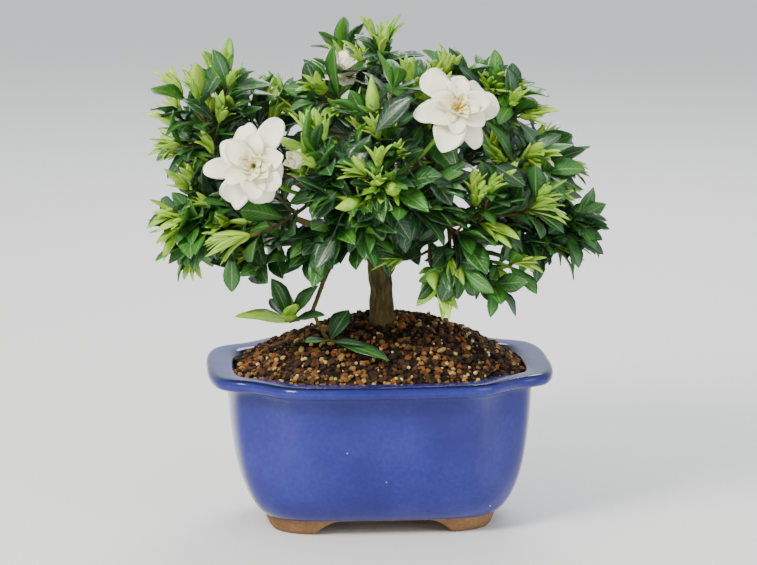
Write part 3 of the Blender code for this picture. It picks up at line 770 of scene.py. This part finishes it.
def add_crown(build, end, axis, budding, size, fat_bud=None):
    """What stands at the end of a twig: a closed bud in young narrow leaves, or grown leaves."""
    start = dice.uniform(0, 6.28)
    if fat_bud:
        add_bud(build, end - axis * 0.001, axis, *fat_bud, 0.9)
        for k in range(4):
            add_leaf(build, end - axis * 0.002, spread_direction(axis, start + 1.6 * k, 0.8), axis, 0.014, 0.0035, 0.9,
                     True, 0)
    elif budding:
        tone = dice.uniform(0.84, 1.0)
        if dice.random() < 0.55:
            add_bud(build, end - axis * 0.001, axis, 0.015 * size, 0.0026 * size, tone)
        count = dice.randrange(7, 10)
        for k in range(count):
            tilt = dice.uniform(0.06, 0.42)
            length = dice.uniform(0.014, 0.026) * size
            add_leaf(build, end - axis * dice.uniform(0, 0.003), spread_direction(axis, start + 2.4 * k, tilt), axis,
                     length, length * dice.uniform(0.22, 0.32), min(tone + dice.uniform(-0.16, 0.05), 1), True, 0)
    else:
        for k in range(dice.randrange(4, 6)):
            tilt = dice.uniform(0.25, 0.9)
            length = dice.uniform(0.022, 0.032) * size
            tone = dice.uniform(0.2, 0.6)
            add_leaf(build, end, spread_direction(axis, start + 2.4 * k, tilt), axis, length,
                     length * dice.uniform(0.36, 0.47), tone, False, 1)


def curved_line(start, end, sag, steps):
    bow = sag * (end - start).length
    return [start.lerp(end, t) + bow * math.sin(math.pi * t) for t in (k / steps for k in range(steps + 1))]


def dress_twig(build, line, radii, budding, size, first_leaf, fat_bud=None):
    """A twig with whorls of grown leaves along it and a crown at its end."""
    add_tube(build, line, radii, 6, 0.55, slot=2)
    total = (line[-1] - line[0]).length
    axis = (line[-1] - line[-3]).normalized()
    place = first_leaf * total
    turn = dice.uniform(0, 6.28)
    while place < total - 0.003:
        share = place / total * (len(line) - 1)
        k = min(int(share), len(line) - 2)
        spot = line[k].lerp(line[k + 1], share - k)
        here = (line[k + 1] - line[k]).normalized()
        near_end = place / total
        for leaf in range(2):
            tilt = dice.uniform(0.75, 1.3) - 0.25 * near_end
            length = dice.uniform(0.02, 0.034) * size
            tone = dice.uniform(0.0, 0.34) + (0.28 * near_end if budding else 0.1 * near_end)
            direction = spread_direction(here, turn + 2.3 * leaf, tilt)
            add_leaf(build, spot, direction, here, length, length * dice.uniform(0.36, 0.47), tone, False, 1)
        turn += 1.25
        place += dice.uniform(0.0065, 0.0095)
    add_crown(build, line[-1], axis, budding, size, fat_bud)


def ends_of(name):
    """Foot and tip of a CAD shoot: its point nearest the wood, and the one furthest from that."""
    points = [v.co.copy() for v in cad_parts[name].data.vertices]
    foot = min(points, key=lambda p: trunk_tree.find_nearest(p)[3])
    return foot, max(points, key=lambda p: (p - foot).length)


# Shoots that end in a fat closed flower bud: length and radius
FAT_BUDS = {
    "budding_shoot_14": (0.021, 0.0045), "budding_shoot_15": (0.023, 0.0048), "budding_shoot_16": (0.017, 0.0042),
    "budding_shoot_05": (0.024, 0.0042), "budding_shoot_13": (0.020, 0.0036), "budding_shoot_20": (0.016, 0.0038),
}


def make_shoot(name):
    budding = name.startswith("budding")
    foot, tip = ends_of(name)
    build = Build()
    reach = tip - foot
    axis = (reach.normalized() + UP * (0.5 if budding else 0.12)).normalized()
    end = tip - axis * (0.016 if budding else 0.022)
    sag = Vector((dice.uniform(-0.08, 0.08), dice.uniform(-0.08, 0.08), -0.06))
    line = curved_line(foot, end, sag, 6)
    dress_twig(build, line, np.linspace(0.0012, 0.0007, 7), budding, 1.15, 0.22, FAT_BUDS.get(name))
    for number in range(4):
        share = 0.28 + 0.17 * number
        spot = foot.lerp(end, share) + sag * reach.length * math.sin(math.pi * share)
        out = spread_direction(reach.normalized(), dice.uniform(0, 6.28), dice.uniform(0.6, 1.0))
        out = (out + UP * (0.35 if budding else 0.1)).normalized()
        side_end = spot + out * dice.uniform(0.014, 0.026)
        if not fits(side_end + out * 0.012):
            continue
        side_line = curved_line(spot, side_end, Vector((0, 0, -0.05)), 4)
        side_budding = dice.random() < (0.7 if budding else 0.3)
        dress_twig(build, side_line, np.linspace(0.0009, 0.0005, 5), side_budding, 0.85, 0.45)
    piece = build.make(name + "_leaves", [YOUNG, GROWN, BARK])
    hand_over(piece, "young_leaf" if budding else "grown_leaf", name)


# Large leaves that stand out singly: stalk end, tip, width, tone (millimetres)
BIG_LEAVES = [
    ((-9, -80, 245), (10, -87, 266), 14, 0.08), ((-10, -81, 246), (-24, -90, 225), 13, 0.12),
    ((103, -20, 176), (132, -22, 193), 15, 0.5), ((86, -22, 171), (110, -26, 165), 7, 0.8),
    ((82, -24, 169), (93, -28, 153), 9, 0.66), ((-89, -46, 172), (-89, -50, 150), 10, 0.42),
    ((7, -30, 186), (21, -36, 162), 11, 0.12), ((-22, -30, 167), (-42, -36, 158), 10, 0.2),
    ((31, -58, 154), (18, -64, 143), 8, 0.8), ((58, -58, 158), (59, -62, 145), 9, 0.25),
    ((2, -26, 178), (4, -34, 155), 10, 0.3), ((-30, -80, 190), (-42, -92, 172), 12, 0.1),
    ((20, -84, 225), (34, -92, 207), 13, 0.05), ((60, -74, 226), (76, -84, 216), 12, 0.1),
    ((-30, -86, 214), (-44, -94, 200), 12, 0.16), ((-2, -86, 205), (10, -95, 188), 12, 0.12),
]


def make_big_leaves():
    build = Build()
    for base, tip, width, tone in BIG_LEAVES:
        start, reach = Vector(base) * MM, (Vector(tip) - Vector(base)) * MM
        sheet = LEAF if tone < 0.75 else YOUNG_LEAF
        sheet.add(build, start, reach.normalized() + UP * 0.1, Vector((0, -1, 1.1)), reach.length * 1.05, width * MM, tone,
                  bend=0.3, cup=0.3, wave=0.1, slot=0 if tone > 0.75 else 1)
    hand_over(build.make("large_leaves", [YOUNG, GROWN]), "grown_leaf")


def make_low_piece(name, leaves):
    foot, _ = ends_of(name)
    build = Build()
    heart = foot + Vector((-0.006, -0.002, -0.001)) if name == "low_spray" else foot + Vector((0.0012, -0.0012, -0.0012))
    add_tube(build, curved_line(foot, heart, Vector((0, 0, 0.05)), 4), np.linspace(0.0012, 0.0009, 5), 6, 0.5, slot=2)
    for tip, width, tone in leaves:
        target = foot + Vector(tip) * MM
        reach = target - heart
        young = tone > 0.75
        sheet = YOUNG_LEAF if young else LEAF
        sheet.add(build, heart, reach.normalized() + UP * 0.12, UP * 1.0 + Vector((0, -0.35, 0)), reach.length * 1.03,
                  1.35 * width * MM, tone, bend=0.3, cup=0.25, wave=0.08, slot=0 if young else 1)
    piece = build.make(name + "_leaves", [YOUNG, GROWN, BARK])
    hand_over(piece, "grown_leaf", name)


# ---------------------------------------------------------------- flowers

def add_petal(build, centre, facing, angle, length, width, rise, fall, heart, tone=0.0, cup=0.28):
    """A petal at an angle seen from the front; it rises from the heart, then turns down."""
    right = Vector((0, 0, 1)).cross(facing).normalized() * -1
    if right.x < 0:
        right = -right
    above = facing.cross(right)
    if above.z < 0:
        above = -above
    outward = math.cos(angle) * right + math.sin(angle) * above
    direction = math.cos(rise) * outward + math.sin(rise) * facing
    face = math.cos(rise) * facing - math.sin(rise) * outward
    sheet = POINTED_PETAL if dice.random() < 0.6 else ROUND_PETAL
    sheet.add(build, centre + outward * 0.0012, direction, face, length, width, tone, bend=rise * 0.75 + fall * 0.4,
                    curl=fall, cup=cup + dice.uniform(-0.15, 0.2), wave=dice.uniform(0.15, 0.42), thickness=0.0005,
              heart=heart)


def add_calyx(build, foot, centre, facing):
    """Green stalk, calyx tube and narrow sepals behind the petals."""
    back = centre - facing * 0.010
    line = curved_line(foot, back, Vector((0, 0, -0.08)), 6)
    add_tube(build, line + [centre - facing * 0.002], [0.0012] * 6 + [0.0016, 0.0028], 8, 0.72, slot=1)
    for k in range(6):
        direction = spread_direction(facing, 1.05 * k, 0.75)
        YOUNG_LEAF.add(build, back, direction, facing, 0.015, 0.0026, 0.85, bend=-0.3, cup=0.3, slot=1)


def make_open_flower(name, centre, facing, outer, stamens):
    facing = facing.normalized()
    build = Build()
    add_calyx(build, ends_of(name)[0], centre, facing)
    for number, (angle, length, width) in enumerate(outer):
        layer = facing * (0.0007 * (number % 3))
        add_petal(build, centre + layer, facing, math.radians(angle), length * MM, width * MM,
                  dice.uniform(0.1, 0.5), dice.uniform(0.1, 0.8), 0.25)
    for k in range(6):
        angle = 1.05 * k + dice.uniform(-0.2, 0.2) + 0.4
        length = dice.uniform(0.016, 0.0205)
        add_petal(build, centre + facing * 0.0025, facing, angle, length, length * 0.72,
                  dice.uniform(0.6, 0.85), dice.uniform(0.1, 0.5), 0.4, 0.05, cup=0.4)
    for k in range(5 if stamens else 7):
        angle = (1.26 if stamens else 0.9) * k + dice.uniform(-0.25, 0.25)
        length = dice.uniform(0.0095, 0.013)
        add_petal(build, centre + facing * 0.0035, facing, angle, length, length * 0.75,
                  dice.uniform(0.95, 1.25), dice.uniform(-0.5, 0.1), 0.45, 0.2, cup=0.75)
    if stamens:
        for k in range(7):
            direction = spread_direction(facing, 0.9 * k, 0.5 + 0.15 * (k % 2))
            base = centre + facing * 0.003
            line = [base + direction * (0.009 * t) for t in (0, 0.4, 0.7, 1.0)]
            add_tube(build, line, [0.0005, 0.0008, 0.0008, 0.0003], 6, 0.95)
    piece = build.make(name + "_petals", [PETAL, YOUNG])
    hand_over(piece, "petal", name)


def make_closing_flower():
    """The flower at the top: petals still standing up, one opened to the left."""
    name = "flower_top"
    foot, _ = ends_of(name)
    low, high = (Vector(corner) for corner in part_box(name))
    centre = Vector(((low.x + high.x) / 2, (low.y + high.y) / 2, high.z - 0.021))
    facing = Vector((0.22, -0.15, 1.0)).normalized()
    build = Build()
    add_calyx(build, foot, centre, facing)
    for k in range(7):
        add_petal(build, centre, facing, 0.9 * k, dice.uniform(0.016, 0.021), 0.011, dice.uniform(1.15, 1.35),
                  dice.uniform(-0.3, 0.15), 0.2, 0.02, cup=0.6)
    for angle in (2.9, 3.7, 5.0):
        add_petal(build, centre, facing, angle, 0.017, 0.012, 0.55, 0.4, 0.2, 0.02)
    piece = build.make(name + "_petals", [PETAL, YOUNG])
    hand_over(piece, "petal", name)


def make_white_bud():
    name = "flower_bud_left"
    foot, tip = ends_of(name)
    facing = (tip - foot).normalized()
    centre = tip - facing * 0.009
    build = Build()
    add_calyx(build, foot, centre, facing)
    for k in range(5):
        add_petal(build, centre - facing * 0.001, facing, 1.26 * k, 0.0105, 0.0062, 1.25, -0.55, 0.1, 0.1, cup=0.9)
    piece = build.make(name + "_petals", [PETAL, YOUNG])
    hand_over(piece, "petal", name)


# ---------------------------------------------------------------- studio

def make_stage():
    floor_mesh = bpy.data.meshes.new("floor")
    reach = 6.0
    floor_mesh.from_pydata([(-reach, -reach, 0), (reach, -reach, 0), (reach, reach, 0), (-reach, reach, 0)], [],
                           [(0, 1, 2, 3)])
    floor = bpy.data.objects.new("floor", floor_mesh)
    bpy.context.scene.collection.objects.link(floor)
    floor_mesh.materials.append(plain_material("floor_paper", (0.88, 0.87, 0.83), 0.7))
    world = bpy.data.worlds.new("studio")
    world.use_nodes = True
    background = world.node_tree.nodes["Background"]
    background.inputs[0].default_value = (0.84, 0.90, 0.96, 1)
    background.inputs[1].default_value = 1.05
    bpy.context.scene.world = world


def add_light(name, place, target, size, watts, colour):
    lamp = bpy.data.lights.new(name, "AREA")
    lamp.shape = "DISK"
    lamp.size = size
    lamp.energy = watts
    lamp.color = colour
    holder = bpy.data.objects.new(name, lamp)
    holder.location = place
    holder.rotation_euler = (Vector(target) - Vector(place)).to_track_quat("-Z", "Y").to_euler()
    bpy.context.scene.collection.objects.link(holder)


def make_camera():
    data = bpy.data.cameras.new("camera")
    data.lens = 150.6
    data.sensor_width = 36.0
    camera = bpy.data.objects.new("camera", data)
    camera.location = (-0.1455, -1.8492, 0.5082)
    camera.rotation_euler = (math.radians(90 - 11.11), 0, math.radians(-4.5))
    bpy.context.scene.collection.objects.link(camera)
    bpy.context.scene.camera = camera


def main():
    make_camera()
    make_stage()
    add_light("key", (-0.9, -0.9, 1.2), (0, 0, 0.15), 0.6, 38, (1.0, 0.97, 0.92))
    add_light("fill", (1.1, -1.0, 0.6), (0, 0, 0.12), 1.0, 7, (0.92, 0.96, 1.0))
    add_light("back", (0.3, 1.1, 1.3), (0, 0, 0.2), 0.8, 18, (1.0, 1.0, 1.0))
    make_pot()
    make_soil()
    make_trunk()
    for name in sorted(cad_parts):
        if "_shoot_" in name:
            make_shoot(name)
    make_big_leaves()
    make_low_piece("low_spray", LOW_SPRAY)
    make_low_piece("low_sprout", LOW_SPROUT)
    for flower in OPEN_FLOWERS:
        make_open_flower(*flower)
    make_closing_flower()
    make_white_bud()
    mesh_plastic = plain_material("screen_plastic", (0.03, 0.03, 0.03), 0.5)
    for name in ("drain_screen_left", "drain_screen_right"):
        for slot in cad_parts[name].material_slots:
            slot.material = mesh_plastic


main()
